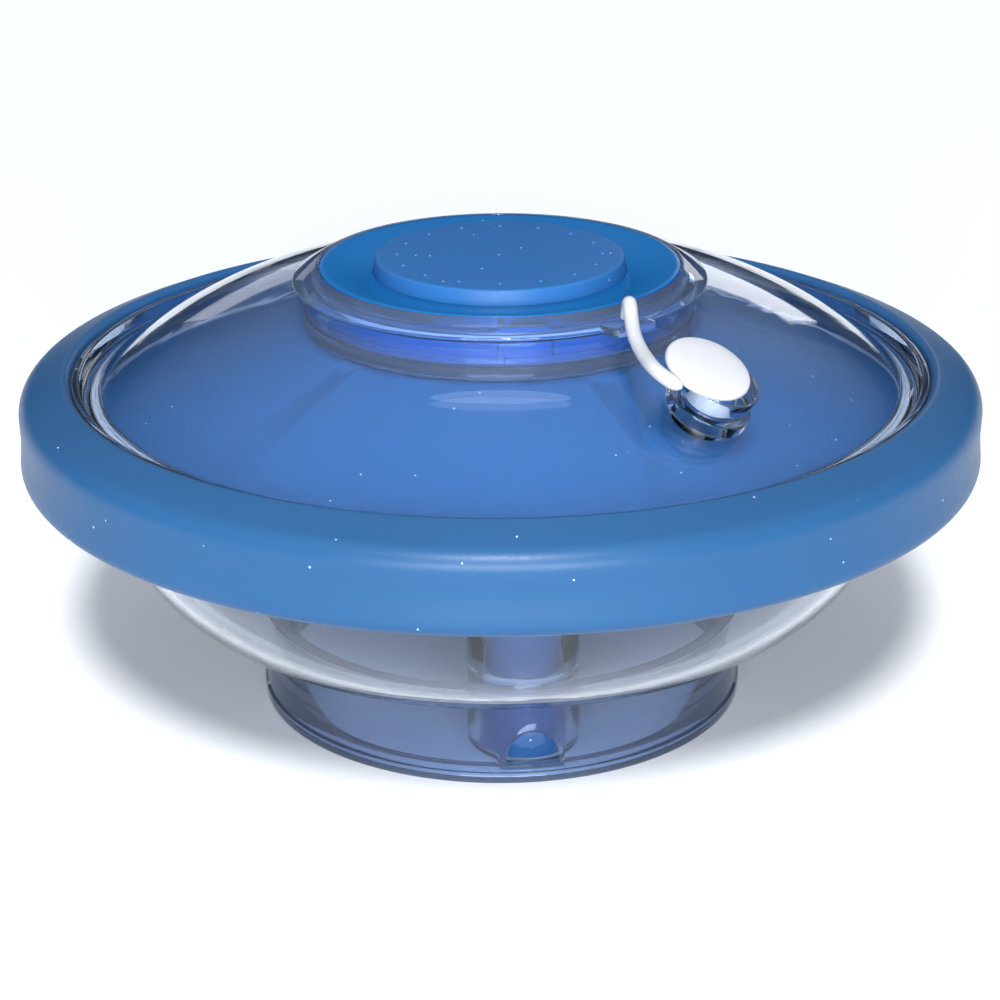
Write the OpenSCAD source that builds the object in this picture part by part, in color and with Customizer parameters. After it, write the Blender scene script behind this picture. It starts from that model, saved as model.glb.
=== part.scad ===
// Floating chlorine dispenser: a blue float ring that clamps a clear dome over a clear bowl,
// with a tablet well under a bayonet cap and a turning dosing valve in the foot.
// The origin is at the centre of the base, on the surface that the foot stands on.

/* [Float ring] */
// Outer diameter of the float ring
ring_d = 222.4; // [220:0.2:224]
// Height of the float ring's underside above the ground
ring_low_z = 60; // [59.6:0.1:60.4]
// Wall thickness of the blue mouldings
blue_wall = 2.4; // [2:0.1:2.6]

/* [Clear shells] */
// Wall thickness of the clear bowl and dome
clear_wall = 2.2; // [1.8:0.1:2.4]
// Outer radius of the foot skirt
foot_r = 57; // [56.5:0.1:58]
// Height of the foot skirt
foot_h = 19.8; // [19.4:0.1:20]
// Outer radius of the bowl where it meets the float ring
bowl_r = 93; // [92:0.5:93.5]

/* [Neck and cap] */
// Outer radius of the neck collar
neck_r = 44.6; // [44.4:0.1:44.8]
// Radius of the cap's top plate
cap_r = 41.4; // [41.2:0.1:41.6]
// Height of the cap's flat top above the ground
cap_top_z = 104.2; // [104:0.1:104.6]
// Radius of the raised disc on the cap
disc_r = 28.7; // [28:0.1:30]
// Number of small pips on the raised disc
pip_count = 16; // [8:1:24]
// Number of bayonet lugs
lug_count = 4; // [2:1:4]

/* [Tablet well] */
// Inner radius of the well, for tablets of 76 mm
well_r = 39.6; // [39:0.1:39.8]
// Height of the well's floor
well_floor_z = 38.2; // [38:0.1:40]
// Number of slots in the grate
grate_slots = 12; // [6:1:14]
// Number of screws that hold the well to the deck
screw_count = 5; // [3:1:6]

/* [Dosing valve] */
// Distance of the valve from the centre line
valve_offset = 40; // [39:0.5:40]
// Direction of the valve and of the foot's arch, from straight ahead
valve_turn = 7; // [0:1:15]
// Bore radius of the clear sleeve
sleeve_bore_r = 10.9; // [10.7:0.05:11]
// Running clearance of the valve in its sleeve
valve_gap = 0.08; // [0.05:0.01:0.1]

/* [Spout and plug] */
// Outer radius of the plug's head
plug_r = 9.4; // [9:0.1:9.8]
// Bore radius of the spout
spout_bore_r = 5.2; // [5:0.1:5.4]
// Lean of the spout from upright
spout_tilt = 27; // [24:1:30]

/* [Hidden] */

$fn = 96;
over = 0.5;  // how far a cutter reaches past the face it cuts

ring_r = ring_d / 2;
ring_inner_r = ring_r - 11.8;
lip_z = 81.7;
ledge_r = bowl_r + 0.4;
ledge_z = ring_low_z + blue_wall;
shoulder_r = 5.4;
shoulder_z = 74;

bowl_floor_r = 50;
bowl_rim_z = 56.8;
bowl_mid_z = 60;
gasket_h = 1;
bowl_lip_r = 98.2;

deck_r = 96.4;
dome_rim_r = 99;
dome_rim_z = 80.4;
deck_rim_z = 73.4;
deck_land_r = 46.6;
deck_land_z = 89.9;
deck_bore_r = 41;
deck_slope = atan((deck_land_z - deck_rim_z) / (92 - deck_land_r));

seat_top_z = 93.3;
neck_bore_r = 41.9;
flange_z = 100.2;
flange_r = 47.7;
shoulder_bore_r = 40.4;
ramp_bore_r = 38.6;
ramp_z = 94.6;
ramp_top_z = 97.4;
lug_r = 40;
lug_turn = valve_turn + 0.6;
entry_w = 11.6;
lock_turn = 32;

skirt_r = 38.3;
skirt_low_z = 92.6;
plate_low_z = 101.4;
disc_h = 1.9;
disc_low_z = 102.4;
dish_z = 102.7;
pip_ring_r = 23.6;
pip_r = 0.6;

screw_ring_r = 49;
screw_turn = 27;
well_flange_z = 82;

manifold_low_z = 33.6;
valve_low_z = 3;
valve_top_z = 17.4;
tube_low_z = 20.4;

spout_at = [42.7, -62.5, 90.3];
spout_lean = 48;
head_z = 8.9;
head_shift = [-2.3, 2.7, 0];

tab_turn = 34.5;
tab_half_w = 5.8;
tab_reach = 52.2;
tab_h = 1.7;
strap_r = 1.6;

clear_blue = [0.72, 0.80, 0.90, 0.45];
satin_blue = [0.18, 0.42, 0.72];
cap_blue = [0.10, 0.46, 0.75];
seal_grey = [0.80, 0.82, 0.85];
plug_white = [0.96, 0.97, 0.98];

// Points on a circular arc in the radius and height plane.
function arc(r, z, size, from, to, steps = 8) =
  [for (i = [0:steps]) let (a = from + (to - from) * i / steps) [r + size * cos(a), z + size * sin(a)]];

// Points on the bowl's elliptical meridian, set in from the outside by inset.
function bowl_curve(inset, top, steps = 20) =
  let (last = acos((bowl_mid_z - top) / (bowl_mid_z - foot_h - inset)))
  [for (i = [0:steps]) let (a = last * i / steps)
    [bowl_floor_r + (bowl_r - bowl_floor_r - inset) * sin(a),
     bowl_mid_z - (bowl_mid_z - foot_h - inset) * cos(a)]];

// One point on a cubic curve through the four corners of its cage.
function cubic(cage, t) =
  pow(1 - t, 3) * cage[0] + 3 * pow(1 - t, 2) * t * cage[1]
  + 3 * (1 - t) * pow(t, 2) * cage[2] + pow(t, 3) * cage[3];

// The dome's meridian, from the neck out to the rim, set in by inset.
function dome_cage(inset) = [
  [44.9, 100 - inset],
  [66.5 - inset * 0.2, 98.7 - inset],
  [87.5 - inset * 0.7, 83.5 - inset * 0.7],
  [94.1 - inset, 77.6 - inset * 0.3]
];
function dome_curve(inset, steps = 20) = [for (i = [0:steps]) cubic(dome_cage(inset), i / steps)];

// Places children at a distance and a turn from straight ahead, which is -Y.
module at_turn(distance, turn) {
  rotate([0, 0, turn]) translate([0, -distance, 0]) children();
}

module around(count, first = 0) {
  for (i = [0:count - 1]) rotate([0, 0, first + i * 360 / count]) children();
}

module spout_frame() {
  translate(spout_at) rotate([0, 0, spout_lean]) rotate([spout_tilt, 0, 0]) children();
}

module tube(outer, inner, low, high) {
  difference() {
    translate([0, 0, low]) cylinder(r = outer, h = high - low);
    translate([0, 0, low - over]) cylinder(r = inner, h = high - low + 2 * over);
  }
}

// The flared arch in the foot, drawn with its base on the X axis.
module arch_outline() {
  translate([0, 3.2]) circle(r = 5.8);
  polygon([[-7.3, 0], [-6.3, 0.9], [-5.8, 3.2], [5.8, 3.2], [6.3, 0.9], [7.3, 0]]);
}

module foot_skirt() {
  lip_h = 3;
  lip_inner_r = foot_r - 3.9;
  color(clear_blue) difference() {
    rotate_extrude() polygon([
      [lip_inner_r, 0], [foot_r + 0.6, 0], [foot_r + 0.6, lip_h - 0.6], [foot_r, lip_h], [foot_r, foot_h - 2.4],
      [foot_r + 0.5, foot_h - 0.8], [foot_r + 1.3, foot_h], [foot_r - 2.5, foot_h],
      [foot_r - 2.5, lip_h], [lip_inner_r, lip_h]
    ]);
    at_turn(foot_r - 1, valve_turn) translate([0, 0, lip_h + 0.05]) rotate([90, 0, 0])
      linear_extrude(height = 8, center = true) arch_outline();
  }
}

module bowl() {
  color(clear_blue) difference() {
    union() {
      rotate_extrude() polygon(concat(
        [[0, foot_h]], bowl_curve(0, bowl_rim_z),
        [[bowl_lip_r, bowl_rim_z], [bowl_lip_r, bowl_rim_z + clear_wall]],
        [for (i = [20:-1:0]) bowl_curve(clear_wall, bowl_rim_z + clear_wall)[i]],
        [[0, foot_h + clear_wall]]
      ));
      tube(foot_r + 0.2, foot_r - 2.5, foot_h, foot_h + 1);
    }
    at_turn(valve_offset, valve_turn) cylinder(r = sleeve_bore_r + 2.05, h = foot_h + 20);
  }
}

module bowl_gasket() {
  color(seal_grey) tube(97.6, 94, bowl_rim_z + clear_wall, ring_low_z);
}

module ring_base() {
  color(satin_blue) tube(ring_r - 3, ledge_r, ring_low_z, ledge_z);
}

module ring_shell() {
  lip_r = 1.5;
  hem_r = 3;
  outside = concat(
    arc(ring_r - hem_r + 0.3, ring_low_z + hem_r, hem_r, -90, 0),
    [[ring_r, 66], [ring_r - 0.2, 68.5], [ring_r - 0.15, 71.5]],
    arc(ring_r - shoulder_r, shoulder_z, shoulder_r, 0, 64),
    arc(ring_inner_r + lip_r, lip_z - lip_r, lip_r, 64, 180)
  );
  inside = [
    [ring_inner_r, ledge_z], [ring_inner_r + blue_wall, ledge_z],
    [ring_inner_r + blue_wall + 0.4, lip_z - 3], [ring_r - 4.6, shoulder_z + 2.2],
    [ring_r - blue_wall - 0.4, shoulder_z], [ring_r - blue_wall - 0.4, ring_low_z]
  ];
  color(satin_blue) rotate_extrude() polygon(concat(outside, inside));
}

module deck() {
  skirt_inner_r = deck_r - 2.2;
  color(satin_blue) difference() {
    union() {
      rotate_extrude() polygon([
        [deck_r, ledge_z], [deck_r, deck_rim_z], [92, deck_rim_z], [deck_land_r, deck_land_z],
        [deck_bore_r, deck_land_z], [deck_bore_r, deck_land_z - blue_wall],
        [deck_land_r - 0.4, deck_land_z - blue_wall], [91.6, deck_rim_z - blue_wall],
        [skirt_inner_r, deck_rim_z - blue_wall], [skirt_inner_r, ledge_z]
      ]);
      around(screw_count, screw_turn) translate([0, -screw_ring_r, well_flange_z + 2])
        cylinder(r = 3.2, h = 4);
    }
    around(screw_count, screw_turn) {
      translate([0, -screw_ring_r, well_flange_z]) cylinder(r = 1.3, h = 5.6);
      translate([0, -screw_ring_r, deck_land_z - 1]) rotate([deck_slope, 0, 0]) cylinder(r = 2.6, h = 4);
    }
  }
}

module rim_gasket() {
  color(seal_grey) tube(94, 92.05, deck_rim_z, deck_rim_z + gasket_h);
}

module dome() {
  edge_z = deck_rim_z + gasket_h;
  color(clear_blue) difference() {
    rotate_extrude() polygon(concat(
      dome_curve(0), [
        [96.6, 77.2], [97.4, dome_rim_z], [dome_rim_r, dome_rim_z], [dome_rim_r, 75.2], [94.1, 75.2],
        [94.1, edge_z], [94.1 - clear_wall, edge_z]
      ],
      [for (i = [20:-1:0]) dome_curve(clear_wall)[i]]
    ));
    spout_frame() translate([0, 0, -6]) cylinder(r = 7.4, h = 12);
  }
}

module neck_seat() {
  color(clear_blue) tube(neck_r + 0.4, shoulder_bore_r + 0.1, deck_land_z, seat_top_z);
}

module bayonet_ramps() {
  stop_turn = lock_turn + 8.4;
  difference() {
    tube(neck_bore_r + 0.2, ramp_bore_r, ramp_z, ramp_top_z);
    around(lug_count, lug_turn) translate([-entry_w / 2, -50, ramp_z - over])
      cube([entry_w, 20, 4]);
  }
  around(lug_count, lug_turn - stop_turn) translate([-1, -neck_bore_r - 0.2, seat_top_z])
    cube([2, 3.4, ramp_z - seat_top_z + 0.2]);
}

// The tab that carries the tether, with its outer corners rounded.
module tab_outline() {
  corner_r = 2;
  side = tab_half_w - corner_r;
  translate([-tab_half_w, corner_r - tab_reach]) square([2 * tab_half_w, tab_reach - corner_r - 45.4]);
  translate([-side, -tab_reach]) square([2 * side, corner_r + 0.1]);
  for (x = [-side, side]) translate([x, corner_r - tab_reach]) circle(r = corner_r, $fn = 48);
}

module neck() {
  color(clear_blue) {
    rotate_extrude() polygon([
      [neck_bore_r, seat_top_z], [neck_r, seat_top_z], [neck_r, flange_z], [flange_r, flange_z + 0.4],
      [flange_r, flange_z + 1], [cap_r + 1, cap_top_z], [cap_r + 0.35, cap_top_z],
      [cap_r + 0.35, flange_z], [shoulder_bore_r, flange_z], [shoulder_bore_r, flange_z - 1.8],
      [neck_bore_r, flange_z - 1.8]
    ]);
    bayonet_ramps();
    rotate([0, 0, tab_turn]) translate([0, 0, flange_z + 0.3])
      linear_extrude(height = tab_h) tab_outline();
  }
}

module tablet_well() {
  color(satin_blue) difference() {
    union() {
      translate([0, 0, well_floor_z]) cylinder(r = well_r + 2, h = deck_land_z - blue_wall - 0.1 - well_floor_z);
      translate([0, 0, well_flange_z]) cylinder(r = screw_ring_r + 3.6, h = 2);
    }
    translate([0, 0, well_floor_z + 2.2]) cylinder(r = well_r, h = 60);
    at_turn(27, valve_turn) translate([0, 0, well_floor_z - over]) cylinder(r = 7, h = 4);
    around(screw_count, screw_turn) translate([0, -screw_ring_r, well_flange_z - over])
      cylinder(r = 1.5, h = 3);
  }
}

module well_grate() {
  grate_z = well_floor_z + 4.8;
  color(satin_blue) {
    tube(38.6, 36.6, well_floor_z + 2.2, grate_z);
    difference() {
      translate([0, 0, grate_z]) cylinder(r = well_r - 0.6, h = 1.8);
      around(grate_slots) translate([-1.6, -33, grate_z - over]) cube([3.2, 22, 3]);
    }
  }
}

module well_screws() {
  color("silver") around(screw_count, screw_turn) translate([0, -screw_ring_r, 0]) {
    translate([0, 0, well_flange_z - 1.8]) cylinder(r = 2.9, h = 1.8, $fn = 48);
    translate([0, 0, well_flange_z]) cylinder(r = 1.25, h = 5.3, $fn = 48);
  }
}

module duct_outline(inset) {
  translate([0, -27]) circle(r = 11 - inset);
  translate([0, -valve_offset]) circle(r = 13 - inset);
  translate([-11 + inset, -valve_offset]) square([22 - 2 * inset, valve_offset - 27]);
}

module outlet_manifold() {
  color(satin_blue) rotate([0, 0, valve_turn]) difference() {
    translate([0, 0, manifold_low_z]) linear_extrude(height = well_floor_z - manifold_low_z) duct_outline(0);
    translate([0, 0, manifold_low_z + 1.4]) linear_extrude(height = 1.8) duct_outline(1.6);
    translate([0, -27, manifold_low_z + 2]) cylinder(r = 7, h = 6);
    translate([0, -valve_offset, manifold_low_z - over]) cylinder(r = 8.2, h = 2.4);
  }
}

module outlet_tube() {
  color(satin_blue) at_turn(valve_offset, valve_turn) tube(9.8, 8.2, tube_low_z, manifold_low_z);
}

module outlet_sleeve() {
  sleeve_r = sleeve_bore_r + 2;
  color(clear_blue) at_turn(valve_offset, valve_turn) difference() {
    translate([0, 0, 2]) cylinder(r = sleeve_r, h = manifold_low_z - 2);
    translate([0, 0, 2.8]) cylinder(r = sleeve_bore_r, h = manifold_low_z);
    cylinder(r = sleeve_bore_r - 1, h = 4);
    translate([-5, 5, 7]) cube([10, 12, 7]);
  }
}

module valve_washer() {
  color(seal_grey) at_turn(valve_offset, valve_turn)
    tube(sleeve_bore_r, 8.5, valve_top_z + 0.3, tube_low_z);
}

module dosing_valve() {
  valve_r = sleeve_bore_r - valve_gap;
  color(satin_blue) at_turn(valve_offset, valve_turn) difference() {
    translate([0, 0, valve_low_z]) cylinder(r = valve_r, h = valve_top_z - valve_low_z);
    translate([0, 0, valve_low_z + 3]) cylinder(r = 8.4, h = 20);
    translate([-5, 4, 7.2]) cube([10, 12, 6.6]);
    translate([-1.2, -6, valve_low_z - over]) cube([2.4, 12, over + 1.8]);
  }
}

module cap_seal() {
  color(seal_grey) tube(cap_r - 0.1, 39.2, flange_z + 0.05, plate_low_z - 0.05);
}

module cap_base() {
  lug_half_w = 4.3;
  color(cap_blue) {
    rotate_extrude() polygon([
      [0, plate_low_z], [cap_r, plate_low_z], [cap_r, cap_top_z], [cap_r - 1.4, cap_top_z],
      [disc_r + 0.5, dish_z], [disc_r + 0.5, disc_low_z], [0, disc_low_z]
    ]);
    tube(skirt_r, skirt_r - 2, skirt_low_z, plate_low_z + 0.2);
    intersection() {
      tube(lug_r, skirt_r - 1, skirt_low_z, ramp_z - 0.3);
      around(lug_count, lug_turn) translate([-lug_half_w, -50, 80]) cube([2 * lug_half_w, 20, 30]);
    }
  }
}

module cap_disc() {
  top_z = cap_top_z + disc_h;
  color(satin_blue) {
    rotate_extrude() polygon(concat(
      [[0, disc_low_z], [disc_r + 0.4, disc_low_z], [disc_r + 0.4, dish_z + 0.2]],
      arc(disc_r - 0.8, top_z - 0.8, 0.8, 10, 90), [[0, top_z]]
    ));
    around(pip_count) translate([0, -pip_ring_r, top_z - 0.1]) cylinder(r = pip_r, h = 0.35, $fn = 24);
  }
}

module spout() {
  color(clear_blue) spout_frame() difference() {
    union() {
      translate([0, 0, -3]) cylinder(r = 7.3, h = 4);
      cylinder(r = 9.2, h = 3.2);
      translate([0, 0, 3]) cylinder(r = 7.6, h = 2.4);
      translate([0, 0, 5.2]) cylinder(r = 8.7, h = 3.4);
    }
    translate([0, 0, -4]) cylinder(r = spout_bore_r, h = 14);
  }
}

module plug() {
  stem_r = spout_bore_r - 0.08;
  color(plug_white) spout_frame() {
    rotate_extrude() polygon([
      [0, 2.4], [stem_r - 0.8, 2.4], [stem_r, 3.4], [stem_r, head_z + 1], [0, head_z + 1]
    ]);
    translate(head_shift) rotate_extrude() polygon(concat(
      [[0, head_z], [plug_r - 0.6, head_z]], arc(plug_r - 0.9, head_z + 0.9, 0.9, -60, 60),
      [[plug_r - 3, head_z + 2.1], [0, head_z + 2.5]]
    ));
  }
}

// The strap's middle line, up from the tab, over in a bend and down to the plug's head.
strap_points = [
  [27.4, -40.9, 103.62], [27.5, -41.3, 106.2], [27.6, -42.7, 107.5], [27.7, -45, 106.8],
  [27.8, -47.5, 105.4], [28.1, -52.5, 103.6], [29.1, -58, 102.3], [30.2, -63.6, 101.9],
  [31.4, -68.8, 101.7], [33.2, -72.1, 100.9], [36.04, -74.38, 99.62]
];

module strap_bead(point) {
  translate(point) sphere(r = strap_r, $fn = 16);
}

module tether_strap() {
  color(plug_white) for (i = [0:len(strap_points) - 2]) hull() {
    strap_bead(strap_points[i]);
    strap_bead(strap_points[i + 1]);
  }
}

foot_skirt();
bowl();
bowl_gasket();
ring_base();
ring_shell();
deck();
rim_gasket();
dome();
neck_seat();
neck();
tablet_well();
well_grate();
well_screws();
outlet_manifold();
outlet_tube();
outlet_sleeve();
valve_washer();
dosing_valve();
cap_seal();
cap_base();
cap_disc();
spout();
plug();
tether_strap();
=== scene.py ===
import math

import bmesh
import bpy
from mathutils import Matrix, Vector


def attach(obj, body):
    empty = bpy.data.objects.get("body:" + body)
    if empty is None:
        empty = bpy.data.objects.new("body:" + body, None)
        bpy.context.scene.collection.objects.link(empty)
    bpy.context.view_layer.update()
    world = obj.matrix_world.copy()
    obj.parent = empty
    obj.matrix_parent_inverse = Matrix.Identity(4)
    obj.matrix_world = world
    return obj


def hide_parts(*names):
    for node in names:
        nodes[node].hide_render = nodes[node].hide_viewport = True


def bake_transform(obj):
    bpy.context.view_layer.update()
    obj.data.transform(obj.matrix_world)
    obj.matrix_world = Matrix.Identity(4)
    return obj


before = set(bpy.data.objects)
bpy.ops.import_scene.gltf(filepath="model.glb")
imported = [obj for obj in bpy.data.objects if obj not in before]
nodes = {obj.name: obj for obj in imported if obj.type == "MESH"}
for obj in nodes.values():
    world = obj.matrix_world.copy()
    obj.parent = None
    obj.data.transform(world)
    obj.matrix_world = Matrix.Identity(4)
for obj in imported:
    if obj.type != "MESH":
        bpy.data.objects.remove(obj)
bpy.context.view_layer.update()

MM = 0.001

# ---------------------------------------------------------------- sizes, in millimetres

RING_R = 111.2
RING_LOW_Z = 60.0
RING_INNER_R = 99.4
RING_WALL = 2.4
LEDGE_Z = 62.4
SHOULDER_R = 5.4
SHOULDER_Z = 74.0
LIP_Z = 81.7

CLEAR_WALL = 2.2
FOOT_R = 57.0
FOOT_H = 19.8
FOOT_LIP_H = 3.0
FOOT_WALL = 2.5
FOOT_LIP_IN = 3.9
ARCH_R = 5.8
ARCH_TOE = [(7.3, 0.0), (6.3, 0.9)]
BOWL_R = 93.0
BOWL_FLOOR_R = 50.0
BOWL_MID_Z = 60.0
BOWL_RIM_Z = 56.8
BOWL_LIP_R = 98.2

DECK_R = 96.4
DECK_RIM_Z = 73.4
DECK_LAND_R = 46.6
DECK_LAND_Z = 89.9
DECK_BORE_R = 41.0
DECK_EDGE_R = 92.0
DOME_RIM_R = 99.0
DOME_RIM_Z = 80.4
SCREW_COUNT = 5
SCREW_RING_R = 49.0
SCREW_TURN = 27.0
# Radius and depth of the shallow sink marks over the screws
SINK_R = 9.0
SINK_DEPTH = 0.1

NECK_R = 44.6
NECK_BORE_R = 41.9
SEAT_TOP_Z = 93.3
FLANGE_Z = 100.2
FLANGE_R = 47.7
SHOULDER_BORE_R = 40.4
RAMP_BORE_R = 38.6
RAMP_Z = (94.6, 97.4)
LUG_COUNT = 4
LUG_R = 39.8
LUG_HALF_W = 4.3
LUG_TURN = 7.6
ENTRY_W = 11.6

CAP_R = 41.4
CAP_TOP_Z = 104.2
CAP_LOW_Z = 101.4
CAP_SKIRT_R = 38.3
CAP_SKIRT_Z = 92.6
DISC_R = 28.7
DISC_H = 1.9
DISC_LOW_Z = 102.4
DISH_Z = 102.7
PIP_COUNT = 16
PIP_RING_R = 23.6
PIP_R = 0.65
PIP_SINK = 0.25

VALVE_OFFSET = 40.0
VALVE_TURN = 7.0
SLEEVE_BORE_R = 10.9
SLEEVE_WALL = 2.0
SLEEVE_LOW_Z = 2.0
SLEEVE_TOP_Z = 33.6
SLEEVE_SEAT_Z = 2.8
TUBE_RADII = (8.2, 9.8)
TUBE_LOW_Z = 20.4
VALVE_GAP = 0.08
VALVE_CUP_R = 8.4
VALVE_LOW_Z = 3.0
VALVE_CUP_Z = 6.0
VALVE_TOP_Z = 17.4
PORT_W = 10.0
SLOT_W = 2.4

SPOUT_AT = (42.7, -62.5, 90.3)
SPOUT_TILT = 27.0
SPOUT_LEAN = 48.0
SPOUT_BORE_R = 5.2
SPOUT_ROOT_R = 7.3
SPOUT_STEP_R = 9.2
SPOUT_WAIST_R = 7.6
SPOUT_LIP_R = 8.7
SPOUT_TOP_Z = 8.6
PLUG_GAP = 0.08
PLUG_R = 9.4
HEAD_Z = 8.9
HEAD_SHIFT = (-2.3, 2.7, 0.0)

TAB_TURN = 34.5
TAB_HALF_W = 5.8
TAB_REACH = 52.2
TAB_CORNER = 2.0
TAB_H = 1.7
STRAP_R = 1.55
STRAP_POINTS = [
    (27.4, -40.9, 103.6), (27.5, -41.3, 106.4), (27.6, -42.7, 107.7), (27.7, -45.0, 107.0),
    (27.8, -47.5, 105.5), (28.1, -52.5, 103.6), (29.1, -58.0, 102.3), (30.2, -63.6, 101.8),
    (31.4, -68.8, 101.6), (33.2, -72.1, 100.9), (35.9, -74.2, 99.7), (36.9, -74.4, 99.5),
]
# Share of the cord's radius left at its rounded tip
STRAP_TIP = 0.3

# Steps round a turned piece: the float ring, the others, and the small ones
RING_STEPS = 256
TURN_STEPS = 192
SMALL_STEPS = 96

# ---------------------------------------------------------------- small tools


def srgb(code):
    """A linear colour from an sRGB hex value."""
    parts = [int(code[i:i + 2], 16) / 255 for i in (1, 3, 5)]
    linear = tuple(c / 12.92 if c <= 0.04045 else ((c + 0.055) / 1.055) ** 2.4 for c in parts)
    return linear + (1.0,)


def add_node(tree, kind, settings=None, values=None, links=None):
    """Adds one node, with its settings, its socket values and the sockets that feed it."""
    made = tree.nodes.new(kind)
    for name, value in (settings or {}).items():
        setattr(made, name, value)
    for name, value in (values or {}).items():
        made.inputs[name].default_value = value
    for name, source in (links or {}).items():
        tree.links.new(source, made.inputs[name])
    return made


def new_material(name):
    """A material with an empty node tree."""
    material = bpy.data.materials.new(name)
    material.use_nodes = True
    material.node_tree.nodes.clear()
    return material, material.node_tree


def put_on_surface(tree, shader):
    add_node(tree, "ShaderNodeOutputMaterial", None, None, {"Surface": shader})


def object_place(tree):
    """Texture coordinates in metres, fixed to the piece."""
    return add_node(tree, "ShaderNodeTexCoord").outputs["Object"]


def per_metre(size_mm):
    """The texture scale whose features are about this far apart."""
    return 1.0 / (size_mm * MM)


# ---------------------------------------------------------------- materials

SHADOW_TINT = "#D3DBE6"
SPECK_COLOUR = "#C9DBF2"
SPECK_SPACING = 5.5
PLASTIC_IOR = 1.49


def dust_specks(tree, place, spacing_mm, size_mm):
    """A mask of pale specks of dust and pin-holes, at random places about spacing_mm apart."""
    cells = add_node(tree, "ShaderNodeTexVoronoi", {"feature": "F1"},
                     {"Scale": per_metre(spacing_mm), "Randomness": 1.0}, {"Vector": place})
    edge = size_mm / spacing_mm
    return add_node(tree, "ShaderNodeMapRange", {"interpolation_type": "SMOOTHSTEP"},
                    {"From Min": edge * 0.55, "From Max": edge, "To Min": 1.0, "To Max": 0.0},
                    {"Value": cells.outputs["Distance"]}).outputs["Result"]


def clear_polycarbonate(name, tint, clouding, clearness):
    """Clear moulded polycarbonate: glassy, faintly blue through its wall, with soft flow lines that
    wander round the moulding and a little haze, so that reflections are not dead straight."""
    material, tree = new_material(name)
    place = object_place(tree)
    flow = add_node(tree, "ShaderNodeTexNoise", None,
                    {"Scale": per_metre(34), "Detail": 3.0, "Roughness": 0.55, "Distortion": 0.6},
                    {"Vector": place})
    haze = add_node(tree, "ShaderNodeMapRange", None,
                    {"From Min": 0.35, "From Max": 0.75, "To Min": 0.015, "To Max": clouding},
                    {"Value": flow.outputs["Fac"]})
    ripple = add_node(tree, "ShaderNodeBump", None, {"Strength": 0.16, "Distance": 0.6 * MM},
                      {"Height": flow.outputs["Fac"]})
    shell = add_node(tree, "ShaderNodeBsdfPrincipled", None,
                     {"Base Color": srgb(tint), "IOR": PLASTIC_IOR,
                      "Transmission Weight": clearness},
                     {"Roughness": haze.outputs["Result"], "Normal": ripple.outputs["Normal"]})
    # Shadow rays pass straight through, tinted, so that the shells let light in behind them.
    path = add_node(tree, "ShaderNodeLightPath")
    through = add_node(tree, "ShaderNodeBsdfTransparent", None, {"Color": srgb(SHADOW_TINT)})
    both = add_node(tree, "ShaderNodeMixShader", None, None,
                    {0: path.outputs["Is Shadow Ray"], 1: shell.outputs["BSDF"],
                     2: through.outputs["BSDF"]})
    put_on_surface(tree, both.outputs["Shader"])
    return material


def blue_polypropylene(name, colour, deep, rough, speck_mm):
    """Moulded blue polypropylene: an even colour with very soft clouding, a fine sparked satin
    texture that breaks up the highlight, and stray pale specks of dust."""
    material, tree = new_material(name)
    place = object_place(tree)
    clouds = add_node(tree, "ShaderNodeTexNoise", None,
                      {"Scale": per_metre(55), "Detail": 2.0, "Roughness": 0.5}, {"Vector": place})
    tone = add_node(tree, "ShaderNodeMix", {"data_type": "RGBA"}, {6: srgb(deep), 7: srgb(colour)},
                    {0: clouds.outputs["Fac"]})
    specks = dust_specks(tree, place, SPECK_SPACING, speck_mm)
    dusty = add_node(tree, "ShaderNodeMix", {"data_type": "RGBA"}, {7: srgb(SPECK_COLOUR)},
                     {0: specks, 6: tone.outputs[2]})
    # The real spark texture is about 0.1 mm; it is drawn at 0.9 mm so that it shows.
    grain = add_node(tree, "ShaderNodeTexNoise", None,
                     {"Scale": per_metre(0.9), "Detail": 3.0, "Roughness": 0.65}, {"Vector": place})
    dull = add_node(tree, "ShaderNodeMapRange", None,
                    {"From Min": 0.3, "From Max": 0.7,
                     "To Min": rough - 0.05, "To Max": rough + 0.05},
                    {"Value": grain.outputs["Fac"]})
    relief = add_node(tree, "ShaderNodeBump", None, {"Strength": 0.18, "Distance": 0.08 * MM},
                      {"Height": grain.outputs["Fac"]})
    skin = add_node(tree, "ShaderNodeBsdfPrincipled", None,
                    {"IOR": PLASTIC_IOR, "Specular IOR Level": 0.26},
                    {"Base Color": dusty.outputs[2], "Roughness": dull.outputs["Result"],
                     "Normal": relief.outputs["Normal"]})
    put_on_surface(tree, skin.outputs["BSDF"])
    return material


def white_vinyl():
    """Soft moulded vinyl: milky white, with light bleeding through thin edges and a low sheen."""
    material, tree = new_material("soft white vinyl")
    place = object_place(tree)
    grain = add_node(tree, "ShaderNodeTexNoise", None,
                     {"Scale": per_metre(1.6), "Detail": 2.0, "Roughness": 0.5}, {"Vector": place})
    tone = add_node(tree, "ShaderNodeMix", {"data_type": "RGBA"},
                    {6: srgb("#C2C4CA"), 7: srgb("#CBCDD2")}, {0: grain.outputs["Fac"]})
    relief = add_node(tree, "ShaderNodeBump", None, {"Strength": 0.1, "Distance": 0.1 * MM},
                      {"Height": grain.outputs["Fac"]})
    skin = add_node(tree, "ShaderNodeBsdfPrincipled", None,
                    {"Roughness": 0.38, "IOR": 1.53, "Subsurface Weight": 0.25,
                     "Subsurface Radius": (0.002, 0.002, 0.002), "Subsurface Scale": 1.0},
                    {"Base Color": tone.outputs[2], "Normal": relief.outputs["Normal"]})
    put_on_surface(tree, skin.outputs["BSDF"])
    return material


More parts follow.
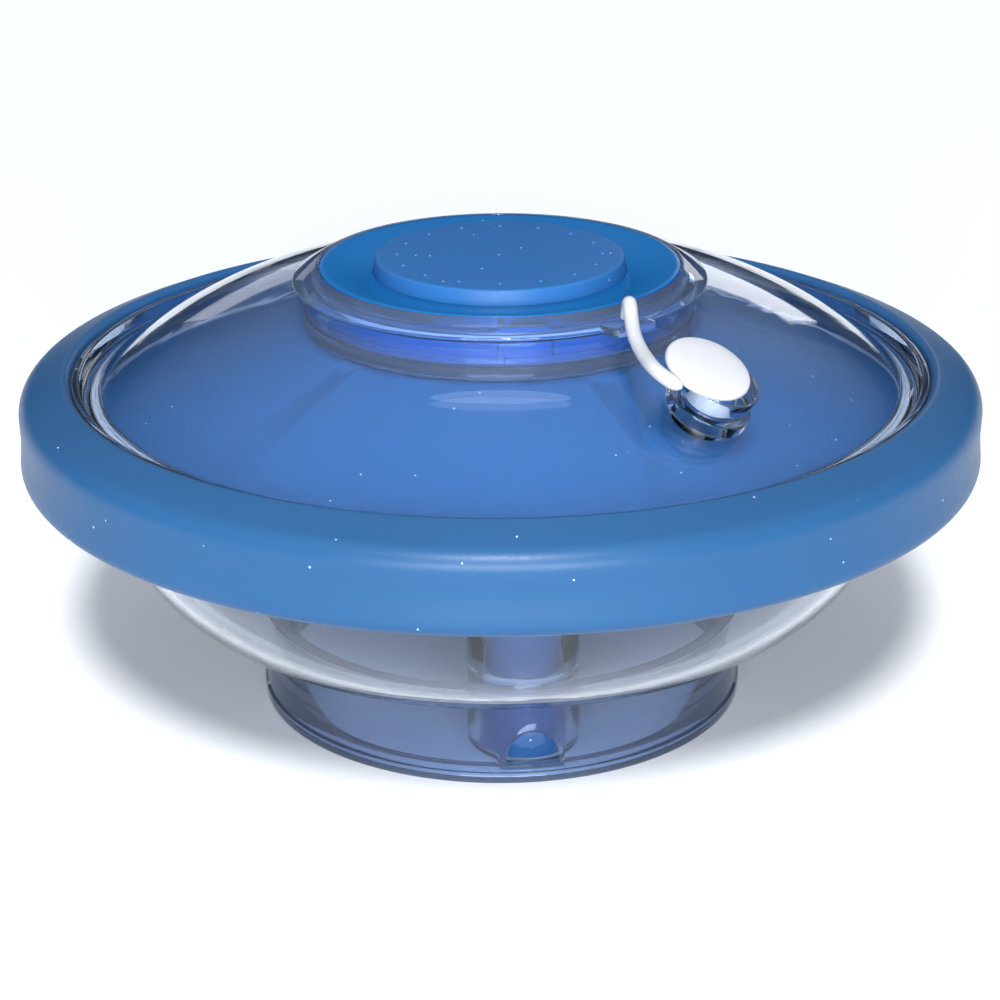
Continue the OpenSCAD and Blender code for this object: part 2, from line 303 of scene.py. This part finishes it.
def grey_silicone():
    """Moulded silicone seals: pale grey, dull and slightly cloudy."""
    material, tree = new_material("grey silicone")
    place = object_place(tree)
    clouds = add_node(tree, "ShaderNodeTexNoise", None,
                      {"Scale": per_metre(6), "Detail": 2.0, "Roughness": 0.5}, {"Vector": place})
    tone = add_node(tree, "ShaderNodeMix", {"data_type": "RGBA"},
                    {6: srgb("#9AA6B8"), 7: srgb("#B9C3D1")}, {0: clouds.outputs["Fac"]})
    skin = add_node(tree, "ShaderNodeBsdfPrincipled", None, {"Roughness": 0.5, "IOR": 1.43},
                    {"Base Color": tone.outputs[2]})
    put_on_surface(tree, skin.outputs["BSDF"])
    return material


def stainless_steel():
    """Turned stainless screws: bright metal with fine tool marks across the head."""
    material, tree = new_material("stainless steel")
    place = object_place(tree)
    marks = add_node(tree, "ShaderNodeTexNoise", None,
                     {"Scale": per_metre(0.5), "Detail": 2.0, "Roughness": 0.6}, {"Vector": place})
    dull = add_node(tree, "ShaderNodeMapRange", None, {"To Min": 0.22, "To Max": 0.4},
                    {"Value": marks.outputs["Fac"]})
    skin = add_node(tree, "ShaderNodeBsdfPrincipled", None,
                    {"Base Color": srgb("#B8B9BC"), "Metallic": 1.0},
                    {"Roughness": dull.outputs["Result"]})
    put_on_surface(tree, skin.outputs["BSDF"])
    return material


CLEAR = clear_polycarbonate("clear polycarbonate shell", "#E6EDF6", 0.03, 1.0)
CLOUDY = clear_polycarbonate("clear polycarbonate, thick", "#A9C4E6", 0.08, 0.94)
SMOKY = clear_polycarbonate("clear polycarbonate, foot", "#9FB2D2", 0.05, 0.98)
SATIN_BLUE = blue_polypropylene("satin blue polypropylene", "#285785", "#234E79", 0.36, 0.3)
# The cap disc is the same satin blue plastic; its colour is painted lighter to stand in for the
# light falling on its flat top.
LIT_DISC_BLUE = blue_polypropylene(
    "satin blue polypropylene, cap disc", "#2B68A8", "#27619E", 0.42, 0.3)
GLOSS_BLUE = blue_polypropylene("gloss blue polypropylene", "#0A69AC", "#0961A2", 0.22, 0.22)
VINYL = white_vinyl()
SILICONE = grey_silicone()
STEEL = stainless_steel()

# ---------------------------------------------------------------- modelling tools


def deselect():
    if bpy.context.object is not None and bpy.context.object.mode != "OBJECT":
        bpy.ops.object.mode_set(mode="OBJECT")
    bpy.ops.object.select_all(action="DESELECT")


def edit_mesh(piece):
    return bmesh.from_edit_mesh(piece.data)


def draw_outline(name, points):
    """Draws a closed outline of (radius, height) points in the XZ plane, edge by edge, and leaves
    it in edit mode."""
    deselect()
    first = points[0]
    bpy.ops.mesh.primitive_plane_add(size=MM, location=(first[0] * MM, 0, first[1] * MM))
    piece = bpy.context.object
    piece.name = name
    piece.data.name = name
    bpy.ops.object.transform_apply(location=True, rotation=True, scale=True)
    bpy.ops.object.mode_set(mode="EDIT")
    bpy.ops.mesh.select_mode(type="VERT")
    bpy.ops.mesh.select_all(action="SELECT")
    bpy.ops.mesh.merge(type="CENTER")
    for before, after in zip(points, points[1:]):
        step = ((after[0] - before[0]) * MM, 0, (after[1] - before[1]) * MM)
        bpy.ops.mesh.extrude_region_move(TRANSFORM_OT_translate={"value": step})
    outline = edit_mesh(piece)
    outline.edges.new([vertex for vertex in outline.verts if len(vertex.link_edges) == 1])
    bmesh.update_edit_mesh(piece.data)
    return piece


def face_outward(piece):
    """Turns every face outward, going by the sign of the enclosed volume."""
    bpy.ops.mesh.select_all(action="SELECT")
    bpy.ops.mesh.normals_make_consistent(inside=False)
    if edit_mesh(piece).calc_volume(signed=True) < 0:
        bpy.ops.mesh.flip_normals()


def extruded(name, points, depth):
    """A closed outline in the XZ plane, filled and extruded along +Y by a depth."""
    piece = draw_outline(name, points)
    bpy.ops.mesh.select_all(action="SELECT")
    bpy.ops.mesh.edge_face_add()
    bpy.ops.mesh.select_all(action="SELECT")
    bpy.ops.mesh.extrude_region_move(TRANSFORM_OT_translate={"value": (0, depth * MM, 0)})
    face_outward(piece)
    bpy.ops.object.mode_set(mode="OBJECT")
    return piece


def slab(name, outline, thickness):
    """A flat slab with the outline given as (across, ahead) points, standing on the XY plane."""
    return move_to(extruded(name, outline, thickness), Matrix.Rotation(math.pi / 2, 4, "X"))


def turned(name, points, steps=TURN_STEPS):
    """A closed solid of revolution about the Z axis."""
    piece = draw_outline(name, points)
    bpy.ops.mesh.select_all(action="SELECT")
    bpy.ops.mesh.spin(steps=steps, angle=math.tau, center=(0, 0, 0), axis=(0, 0, 1),
                      use_auto_merge=True)
    bpy.ops.mesh.select_all(action="SELECT")
    bpy.ops.mesh.remove_doubles(threshold=1e-6)
    face_outward(piece)
    bpy.ops.object.mode_set(mode="OBJECT")
    return piece


def apply_modifier(piece, kind, **settings):
    """Adds one modifier with its settings and applies it at once."""
    modifier = piece.modifiers.new(kind.title(), kind)
    for name, value in settings.items():
        setattr(modifier, name, value)
    bpy.context.view_layer.objects.active = piece
    bpy.ops.object.modifier_apply(modifier=modifier.name)


def round_edges(piece, width_mm, angle=32.0, segments=3):
    """Rounds every edge that is sharper than the angle, in degrees."""
    apply_modifier(piece, "BEVEL", width=width_mm * MM, segments=segments, limit_method="ANGLE",
                   angle_limit=math.radians(angle), harden_normals=False, miter_outer="MITER_ARC")


def cut_with(piece, cutter, operation="DIFFERENCE"):
    """Cuts the cutter out of the piece, or joins it on, and removes the cutter."""
    deselect()
    apply_modifier(piece, "BOOLEAN", object=cutter, operation=operation, solver="EXACT")
    bpy.data.objects.remove(cutter)


def finish_piece(piece, material, body, *replaced, smooth=35.0):
    """Shades the piece, gives it its material, and puts it on its body in place of CAD nodes."""
    deselect()
    bpy.context.view_layer.objects.active = piece
    piece.select_set(True)
    bpy.ops.object.transform_apply(location=True, rotation=True, scale=True)
    bpy.ops.object.shade_smooth_by_angle(angle=math.radians(smooth))
    piece.data.materials.clear()
    piece.data.materials.append(material)
    if body:
        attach(piece, body)
    if replaced:
        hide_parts(*replaced)
    return piece


def arc(r, z, size, start, end, steps=8):
    """Points on a circular arc round (r, z), between two angles in degrees."""
    return [(r + size * math.cos(math.radians(start + (end - start) * i / steps)),
             z + size * math.sin(math.radians(start + (end - start) * i / steps)))
            for i in range(steps + 1)]


def around(count, first=0.0):
    """Evenly spaced turns in radians, the first of them given in degrees."""
    return [math.radians(first + i * 360.0 / count) for i in range(count)]


def at_turn(distance, turn, height=0.0):
    """A place at a distance and a turn in radians from straight ahead, and a height, in metres."""
    return Vector((distance * math.sin(turn), -distance * math.cos(turn), height)) * MM


def cylinder(name, radius, low, high, sides=64, place=(0, 0, 0)):
    """An upright cylinder to cut with, between two heights."""
    deselect()
    centre = (place[0], place[1], place[2] + (low + high) / 2 * MM)
    bpy.ops.mesh.primitive_cylinder_add(vertices=sides, radius=radius * MM,
                                        depth=(high - low) * MM, location=centre)
    piece = bpy.context.object
    piece.name = name
    piece.data.name = name
    bpy.ops.object.transform_apply(location=True, rotation=True, scale=True)
    return piece


def ball(radius, place, segments, rings):
    deselect()
    bpy.ops.mesh.primitive_uv_sphere_add(segments=segments, ring_count=rings, radius=radius * MM)
    piece = bpy.context.object
    piece.location = place
    bpy.ops.object.transform_apply(location=True, rotation=True, scale=True)
    return piece


def bar(name, width, length, heights, turn, ahead=0.0):
    """A straight bar at a turn in radians from straight ahead, with its middle at ahead."""
    deselect()
    bpy.ops.mesh.primitive_cube_add(size=1)
    piece = bpy.context.object
    piece.name = name
    piece.scale = (width * MM, length * MM, (heights[1] - heights[0]) * MM)
    piece.location = at_turn(ahead, turn, sum(heights) / 2)
    piece.rotation_euler = (0, 0, turn)
    bpy.ops.object.transform_apply(location=True, rotation=True, scale=True)
    return piece


def spout_matrix():
    """The spout's own frame, with its axis leaning out over the dome."""
    return (Matrix.Translation(Vector(SPOUT_AT) * MM)
            @ Matrix.Rotation(math.radians(SPOUT_LEAN), 4, "Z")
            @ Matrix.Rotation(math.radians(SPOUT_TILT), 4, "X"))


def valve_matrix(ahead, height=0.0):
    """A place on the line from the centre to the foot's arch."""
    return (Matrix.Rotation(math.radians(VALVE_TURN), 4, "Z")
            @ Matrix.Translation((0, -ahead * MM, height * MM)))


def move_to(piece, matrix):
    piece.matrix_world = matrix @ piece.matrix_world
    deselect()
    bpy.context.view_layer.objects.active = piece
    piece.select_set(True)
    bpy.ops.object.transform_apply(location=True, rotation=True, scale=True)
    return piece


# ---------------------------------------------------------------- pieces


def bowl_curve(inset, top, steps=28):
    """The bowl's elliptical meridian from its floor up to the height top."""
    depth = BOWL_MID_Z - FOOT_H - inset
    width = BOWL_R - BOWL_FLOOR_R - inset
    last = math.acos((BOWL_MID_Z - top) / depth)
    return [(BOWL_FLOOR_R + width * math.sin(last * i / steps),
             BOWL_MID_Z - depth * math.cos(last * i / steps)) for i in range(steps + 1)]


def dome_curve(inset, steps=32):
    """The dome's meridian, from the neck out to the rim."""
    cage = [(44.9, 100.0 - inset), (66.5 - inset * 0.2, 98.7 - inset),
            (87.5 - inset * 0.7, 83.5 - inset * 0.7), (94.1 - inset, 77.6 - inset * 0.3)]
    points = []
    for i in range(steps + 1):
        t = i / steps
        share = ((1 - t) ** 3, 3 * (1 - t) ** 2 * t, 3 * (1 - t) * t * t, t ** 3)
        points.append(tuple(sum(w * corner[k] for w, corner in zip(share, cage)) for k in (0, 1)))
    return points


def make_ring_shell():
    """The float ring's outer shell: a hem below, a faintly hollow side, a shoulder and a lip."""
    lip = 1.5
    hem = 3.0
    outside = (arc(RING_R - hem + 0.3, RING_LOW_Z + hem, hem, -90, 0, 10)
               + [(RING_R + 0.12, 65.0), (RING_R - 0.1, 67.4),
                  (RING_R - 0.2, 69.6), (RING_R - 0.12, 71.8)]
               + arc(RING_R - SHOULDER_R, SHOULDER_Z, SHOULDER_R, 4, 64, 14)
               + arc(RING_INNER_R + lip, LIP_Z - lip, lip, 64, 180))
    inside = [(RING_INNER_R, LEDGE_Z), (RING_INNER_R + RING_WALL, LEDGE_Z),
              (RING_INNER_R + RING_WALL + 0.4, LIP_Z - 3.0), (RING_R - 4.6, SHOULDER_Z + 2.2),
              (RING_R - RING_WALL - 0.4, SHOULDER_Z), (RING_R - RING_WALL - 0.4, RING_LOW_Z)]
    piece = turned("float_ring", outside + inside, RING_STEPS)
    finish_piece(piece, SATIN_BLUE, "float", "ring_shell", smooth=30)


def make_dome():
    """The clear dome with its rim, and the hole for the spout's root."""
    edge_z = DECK_RIM_Z + 1.0
    rim = [(96.6, 77.2), (97.4, DOME_RIM_Z), (DOME_RIM_R, DOME_RIM_Z), (DOME_RIM_R, 75.2),
           (94.1, 75.2), (94.1, edge_z), (94.1 - CLEAR_WALL, edge_z)]
    piece = turned("clear_dome", dome_curve(0) + rim + dome_curve(CLEAR_WALL)[::-1])
    round_edges(piece, 0.35, 40)
    cutter = cylinder("spout_hole", 7.4, -6, 6)
    move_to(cutter, spout_matrix())
    cut_with(piece, cutter)
    finish_piece(piece, CLEAR, "float", "dome")


def make_bowl():
    """The clear bowl with its clamped lip, and the hole for the valve's sleeve."""
    inner_top = BOWL_RIM_Z + CLEAR_WALL
    points = ([(0.0, FOOT_H)] + bowl_curve(0, BOWL_RIM_Z)
              + [(BOWL_LIP_R, BOWL_RIM_Z), (BOWL_LIP_R, inner_top)]
              + bowl_curve(CLEAR_WALL, inner_top)[::-1] + [(0.0, FOOT_H + CLEAR_WALL)])
    piece = turned("clear_bowl", points)
    round_edges(piece, 0.5, 50)
    hole = cylinder("sleeve_hole", SLEEVE_BORE_R + 2.05, 10, 40,
                    place=at_turn(VALVE_OFFSET, math.radians(VALVE_TURN)))
    cut_with(piece, hole)
    finish_piece(piece, CLEAR, "float", "bowl")


def make_foot():
    """The foot skirt with its flat lower lip, and the arch with flared toes at the front."""
    inner_r = FOOT_R - FOOT_WALL
    lip_in_r = FOOT_R - FOOT_LIP_IN
    points = [(lip_in_r, 0.0), (FOOT_R + 0.6, 0.0), (FOOT_R + 0.6, FOOT_LIP_H - 0.6),
              (FOOT_R, FOOT_LIP_H), (FOOT_R, FOOT_H - 2.4), (FOOT_R + 0.5, FOOT_H - 0.8),
              (FOOT_R + 1.3, FOOT_H), (inner_r, FOOT_H), (inner_r, FOOT_LIP_H),
              (lip_in_r, FOOT_LIP_H)]
    piece = turned("foot_ring", points)
    spring_z = 3.2
    left = [(-x, z) for x, z in ARCH_TOE] + [(-ARCH_R, spring_z)]
    right = [(ARCH_R, spring_z)] + ARCH_TOE[::-1]
    crown = arc(0, spring_z, ARCH_R, 180, 0, 24)[1:-1]
    arch = extruded("arch", left + crown + right, 8.0)
    move_to(arch, valve_matrix(FOOT_R + 3, FOOT_LIP_H + 0.05))
    cut_with(piece, arch)
    round_edges(piece, 0.3, 40, 2)
    finish_piece(piece, SMOKY, "float", "foot_skirt")


def make_deck():
    """The cone-shaped deck, with a shallow sink mark over each screw."""
    skirt_inner = DECK_R - 2.2
    points = [(DECK_R, LEDGE_Z), (DECK_R, DECK_RIM_Z), (DECK_EDGE_R, DECK_RIM_Z),
              (DECK_LAND_R, DECK_LAND_Z),
              (DECK_BORE_R, DECK_LAND_Z), (DECK_BORE_R, DECK_LAND_Z - RING_WALL),
              (DECK_LAND_R - 0.4, DECK_LAND_Z - RING_WALL), (91.6, DECK_RIM_Z - RING_WALL),
              (skirt_inner, DECK_RIM_Z - RING_WALL), (skirt_inner, LEDGE_Z)]
    piece = turned("cone_deck", points)
    round_edges(piece, 1.2, 12, 5)
    slope = math.atan2(DECK_LAND_Z - DECK_RIM_Z, DECK_EDGE_R - DECK_LAND_R)
    away = SCREW_RING_R + 1.0
    deck_z = DECK_LAND_Z - (away - DECK_LAND_R) * math.tan(slope)
    for turn in around(SCREW_COUNT, SCREW_TURN):
        cut_with(piece, ball(SINK_R, at_turn(away, turn, deck_z + SINK_R - SINK_DEPTH), 32, 16))
    finish_piece(piece, SATIN_BLUE, "float", "deck")


def make_cap_disc():
    """The raised disc on the cap, with a ring of small round pips."""
    top_z = CAP_TOP_Z + DISC_H
    points = ([(0.0, DISC_LOW_Z), (DISC_R + 0.4, DISC_LOW_Z), (DISC_R + 0.4, DISH_Z + 0.2)]
              + arc(DISC_R - 0.8, top_z - 0.8, 0.8, 10, 90, 10) + [(0.0, top_z)])
    piece = turned("cap_badge", points)
    for turn in around(PIP_COUNT):
        cut_with(piece, ball(PIP_R, at_turn(PIP_RING_R, turn, top_z - PIP_SINK), 20, 12), "UNION")
    finish_piece(piece, LIT_DISC_BLUE, "cap", "cap_disc")


def make_plug():
    """The plug: a stem in the spout, and a head that sits a little off the stem's centre."""
    stem = SPOUT_BORE_R - PLUG_GAP
    piece = turned("spout_plug", [(0.0, 2.4), (stem - 0.8, 2.4), (stem, 3.4), (stem, HEAD_Z + 1.0),
                                  (0.0, HEAD_Z + 1.0)], SMALL_STEPS)
    points = ([(0.0, HEAD_Z), (PLUG_R - 0.8, HEAD_Z)]
              + arc(PLUG_R - 1.0, HEAD_Z + 1.0, 1.0, -70, 75, 10)
              + [(PLUG_R - 3.4, HEAD_Z + 2.3), (PLUG_R - 6.4, HEAD_Z + 2.5), (0.0, HEAD_Z + 2.5)])
    head = turned("head", points, SMALL_STEPS)
    move_to(head, Matrix.Translation(Vector(HEAD_SHIFT) * MM))
    cut_with(piece, head, "UNION")
    move_to(piece, spout_matrix())
    finish_piece(piece, VINYL, "plug_body", "plug", smooth=50)


def make_strap():
    """The moulded strap: a round cord that rises from the tab, bends over and runs down to the
    plug."""
    deselect()
    bpy.ops.curve.primitive_nurbs_path_add()
    path = bpy.context.object
    path.name = "tether"
    spline = path.data.splines[0]
    spline.points.add(len(STRAP_POINTS) - len(spline.points))
    for point, place in zip(spline.points, STRAP_POINTS):
        point.co = tuple(c * MM for c in place) + (1.0,)
    spline.points[-1].radius = STRAP_TIP
    spline.order_u = 3
    spline.use_endpoint_u = True
    path.data.resolution_u = 12
    path.data.bevel_depth = STRAP_R * MM
    path.data.bevel_resolution = 6
    path.data.use_fill_caps = True
    bpy.ops.object.convert(target="MESH")
    piece = bpy.context.object
    piece.name = "tether"
    finish_piece(piece, VINYL, None, smooth=50)
    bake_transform(piece)
    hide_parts("tether_strap")


def make_neck():
    """The collar with its bevelled flange, the ramps inside it and the tab for the tether."""
    shoulder_z = FLANGE_Z - 1.8
    points = [(NECK_BORE_R, SEAT_TOP_Z), (NECK_R, SEAT_TOP_Z), (NECK_R, FLANGE_Z),
              (FLANGE_R, FLANGE_Z + 0.4), (FLANGE_R, FLANGE_Z + 1.0), (CAP_R + 1.0, CAP_TOP_Z),
              (CAP_R + 0.35, CAP_TOP_Z), (CAP_R + 0.35, FLANGE_Z), (SHOULDER_BORE_R, FLANGE_Z),
              (SHOULDER_BORE_R, shoulder_z), (NECK_BORE_R, shoulder_z)]
    piece = turned("neck_collar", points)
    round_edges(piece, 0.25, 30)
    low, high = RAMP_Z
    root_r = NECK_BORE_R + 0.3
    ramps = turned("ramps", [(RAMP_BORE_R, low), (root_r, low), (root_r, high),
                             (RAMP_BORE_R, high)])
    for turn in around(LUG_COUNT, LUG_TURN):
        cut_with(ramps, bar("entry", ENTRY_W, 20.0, (low - 1, high + 1), turn, 40.0))
    cut_with(piece, ramps, "UNION")
    side = TAB_HALF_W - TAB_CORNER
    corner_z = TAB_REACH - TAB_CORNER
    outline = ([(-TAB_HALF_W, NECK_R + 0.8), (TAB_HALF_W, NECK_R + 0.8)]
               + arc(side, corner_z, TAB_CORNER, 0, 90) + arc(-side, corner_z, TAB_CORNER, 90, 180))
    tab = slab("tab", outline, TAB_H)
    round_edges(tab, 0.3, 60)
    move_to(tab, Matrix.Rotation(math.radians(TAB_TURN), 4, "Z")
            @ Matrix.Translation((0, 0, (FLANGE_Z + 0.3) * MM)))
    cut_with(piece, tab, "UNION")
    finish_piece(piece, CLOUDY, "float", "neck")


def make_neck_seat():
    """The clear step ring between the deck and the collar."""
    bore_r = SHOULDER_BORE_R + 0.1
    rim_r = NECK_R + 0.4
    points = [(bore_r, DECK_LAND_Z), (rim_r, DECK_LAND_Z), (rim_r, SEAT_TOP_Z),
              (bore_r, SEAT_TOP_Z)]
    piece = turned("neck_step", points)
    round_edges(piece, 0.35, 40)
    finish_piece(piece, CLOUDY, "float", "neck_seat")


def make_cap():
    """The cap's flat plate with a shallow recess for its disc, the skirt below and four lugs."""
    skirt_in = CAP_SKIRT_R - 2.0
    recess_r = DISC_R + 0.5
    points = [(0.0, CAP_LOW_Z), (skirt_in, CAP_LOW_Z), (skirt_in, CAP_SKIRT_Z),
              (CAP_SKIRT_R, CAP_SKIRT_Z), (CAP_SKIRT_R, CAP_LOW_Z), (CAP_R, CAP_LOW_Z),
              (CAP_R, CAP_TOP_Z), (CAP_R - 1.4, CAP_TOP_Z), (recess_r, DISH_Z),
              (recess_r, DISC_LOW_Z), (0.0, DISC_LOW_Z)]
    piece = turned("bayonet_cap", points)
    round_edges(piece, 0.25, 40, 3)
    length = LUG_R - CAP_SKIRT_R + 0.6
    heights = (CAP_SKIRT_Z, RAMP_Z[0] - 0.3)
    for turn in around(LUG_COUNT, LUG_TURN):
        lug = bar("lug", 2 * LUG_HALF_W, length, heights, turn, LUG_R - length / 2)
        round_edges(lug, 0.25, 40)
        cut_with(piece, lug, "UNION")
    finish_piece(piece, GLOSS_BLUE, "cap", "cap_base")


def make_spout():
    """The two-step fill spout, with its root through the dome."""
    points = [(SPOUT_BORE_R, -3.0), (SPOUT_ROOT_R, -3.0), (SPOUT_ROOT_R, 0.0), (SPOUT_STEP_R, 0.0),
              (SPOUT_STEP_R, 3.2), (SPOUT_WAIST_R, 3.6), (SPOUT_WAIST_R, 5.0), (SPOUT_LIP_R, 5.4),
              (SPOUT_LIP_R, SPOUT_TOP_Z), (SPOUT_BORE_R, SPOUT_TOP_Z)]
    piece = turned("fill_spout", points, SMALL_STEPS)
    round_edges(piece, 0.4, 30)
    move_to(piece, spout_matrix())
    finish_piece(piece, CLEAR, "float", "spout")


def make_sleeve():
    """The clear sleeve round the blue tube and the valve, with a port towards the middle."""
    outer = SLEEVE_BORE_R + SLEEVE_WALL
    seat_r = SLEEVE_BORE_R - 1.0
    points = [(seat_r, SLEEVE_LOW_Z), (outer, SLEEVE_LOW_Z), (outer, SLEEVE_TOP_Z),
              (SLEEVE_BORE_R, SLEEVE_TOP_Z), (SLEEVE_BORE_R, SLEEVE_SEAT_Z),
              (seat_r, SLEEVE_SEAT_Z)]
    piece = turned("valve_sleeve", points, SMALL_STEPS)
    round_edges(piece, 0.25, 40)
    cut_with(piece, bar("port", PORT_W, 12.0, (7.0, 14.0), math.pi, 11.0))
    move_to(piece, valve_matrix(VALVE_OFFSET))
    finish_piece(piece, CLEAR, "float", "outlet_sleeve")


def make_outlet_tube():
    bore_r, outer = TUBE_RADII
    points = [(bore_r, TUBE_LOW_Z), (outer, TUBE_LOW_Z), (outer, SLEEVE_TOP_Z),
              (bore_r, SLEEVE_TOP_Z)]
    piece = turned("outlet_pipe", points, SMALL_STEPS)
    round_edges(piece, 0.4, 40)
    move_to(piece, valve_matrix(VALVE_OFFSET))
    finish_piece(piece, SATIN_BLUE, "float", "outlet_tube")


def make_valve():
    """The turning valve: a cup with a port in its side and a coin slot underneath."""
    outer = SLEEVE_BORE_R - VALVE_GAP
    points = [(0.0, VALVE_LOW_Z), (outer, VALVE_LOW_Z), (outer, VALVE_TOP_Z),
              (VALVE_CUP_R, VALVE_TOP_Z), (VALVE_CUP_R, VALVE_CUP_Z), (0.0, VALVE_CUP_Z)]
    piece = turned("turning_valve", points, SMALL_STEPS)
    round_edges(piece, 0.5, 40)
    cut_with(piece, bar("port", PORT_W, 12.0, (7.2, 13.8), math.pi, 10.0))
    cut_with(piece, bar("slot", SLOT_W, 12.0, (2.0, 4.8), 0.0))
    move_to(piece, valve_matrix(VALVE_OFFSET))
    finish_piece(piece, SATIN_BLUE, "valve", "dosing_valve")


make_ring_shell()
make_neck()
make_neck_seat()
make_cap()
make_spout()
make_sleeve()
make_outlet_tube()
make_valve()
make_dome()
make_bowl()
make_foot()
make_deck()
make_cap_disc()
make_plug()
make_strap()

# ---------------------------------------------------------------- finishes of the CAD pieces

NODE_FINISH = {
    "ring_base": SATIN_BLUE, "tablet_well": SATIN_BLUE, "well_grate": SATIN_BLUE,
    "outlet_manifold": SATIN_BLUE, "bowl_gasket": SILICONE, "rim_gasket": SILICONE,
    "valve_washer": SILICONE, "cap_seal": SILICONE,
    "well_screws": STEEL,
}
for name, material in NODE_FINISH.items():
    slots = nodes[name].material_slots
    if not slots:
        nodes[name].data.materials.append(material)
    for slot in slots:
        slot.material = material

# ---------------------------------------------------------------- camera, floor and light

CAMERA_PLACE = (0.0, -0.5539, 0.2665)
CAMERA_PITCH = 0.380
CAMERA_ROLL = -0.005
CAMERA_LENS = 90
CAMERA_SENSOR = 36
CAMERA_SHIFT = -0.001
deselect()
bpy.ops.object.camera_add(location=CAMERA_PLACE)
camera = bpy.context.object
camera.rotation_euler = (
    Matrix.Rotation(math.pi / 2 - CAMERA_PITCH, 3, "X") @ Matrix.Rotation(CAMERA_ROLL, 3, "Z")
).to_euler()
camera.data.sensor_width = CAMERA_SENSOR
camera.data.lens = CAMERA_LENS
camera.data.shift_x = CAMERA_SHIFT
bpy.context.scene.camera = camera

deselect()
bpy.ops.mesh.primitive_plane_add(size=8)
floor = bpy.context.object
floor.name = "studio_floor"
floor_material, floor_tree = new_material("pale studio floor")
floor_skin = add_node(floor_tree, "ShaderNodeBsdfPrincipled", None,
                      {"Base Color": srgb("#F4F6F8"), "Roughness": 0.8})
put_on_surface(floor_tree, floor_skin.outputs["BSDF"])
floor.data.materials.append(floor_material)

KEY_HEIGHT = math.radians(48)
KEY_ENERGY = 3.0
KEY_ANGLE = math.radians(9)
deselect()
bpy.ops.object.light_add(type="SUN", rotation=(math.pi / 2 - KEY_HEIGHT, 0, 0))
key = bpy.context.object
key.name = "key"
key.data.energy = KEY_ENERGY
key.data.angle = KEY_ANGLE


def softbox(name, height, turn, distance, size, power, shape="RECTANGLE"):
    """A flat lamp at a height and a turn from straight ahead, in degrees, facing the middle."""
    up, way = math.radians(height), math.radians(turn)
    toward = Vector((math.cos(up) * math.sin(way), -math.cos(up) * math.cos(way), math.sin(up)))
    deselect()
    bpy.ops.object.light_add(type="AREA", location=toward * distance + Vector((0, 0, 0.09)),
                             rotation=toward.to_track_quat("Z", "Y").to_euler())
    lamp = bpy.context.object
    lamp.name = name
    lamp.data.shape = shape
    lamp.data.size, lamp.data.size_y = size
    lamp.data.energy = power


# Name, height, turn, distance in metres, size in metres, power in watts
softbox("front", 9, 0, 1.5, (1.1, 0.4), 26.0)
softbox("overhead", 66, 180, 2.0, (0.6, 0.2), 0.36, "ELLIPSE")
softbox("back right", 13, 165, 2.5, (0.7, 0.34), 1.3)
softbox("back left", 11, -166, 2.5, (0.7, 0.3), 0.45)

SKY_LOW, SKY_HIGH = "#2E3B50", "#DDE5F1"
SKY_STRENGTH = 0.62
world = bpy.data.worlds.new("pale studio")
world.use_nodes = True
bpy.context.scene.world = world
sky = world.node_tree
sky_place = add_node(sky, "ShaderNodeTexCoord").outputs["Generated"]
sky_height = add_node(sky, "ShaderNodeSeparateXYZ", None, None, {"Vector": sky_place}).outputs["Z"]
sky_fade = add_node(sky, "ShaderNodeValToRGB", None, None, {"Fac": sky_height})
sky_fade.color_ramp.elements[0].position = 0.2
sky_fade.color_ramp.elements[0].color = srgb(SKY_LOW)
sky_fade.color_ramp.elements[1].position = 0.9
sky_fade.color_ramp.elements[1].color = srgb(SKY_HIGH)
backdrop = sky.nodes["Background"]
backdrop.inputs["Strength"].default_value = SKY_STRENGTH
sky.links.new(sky_fade.outputs["Color"], backdrop.inputs["Color"])
bpy.context.scene.view_settings.view_transform = "Standard"
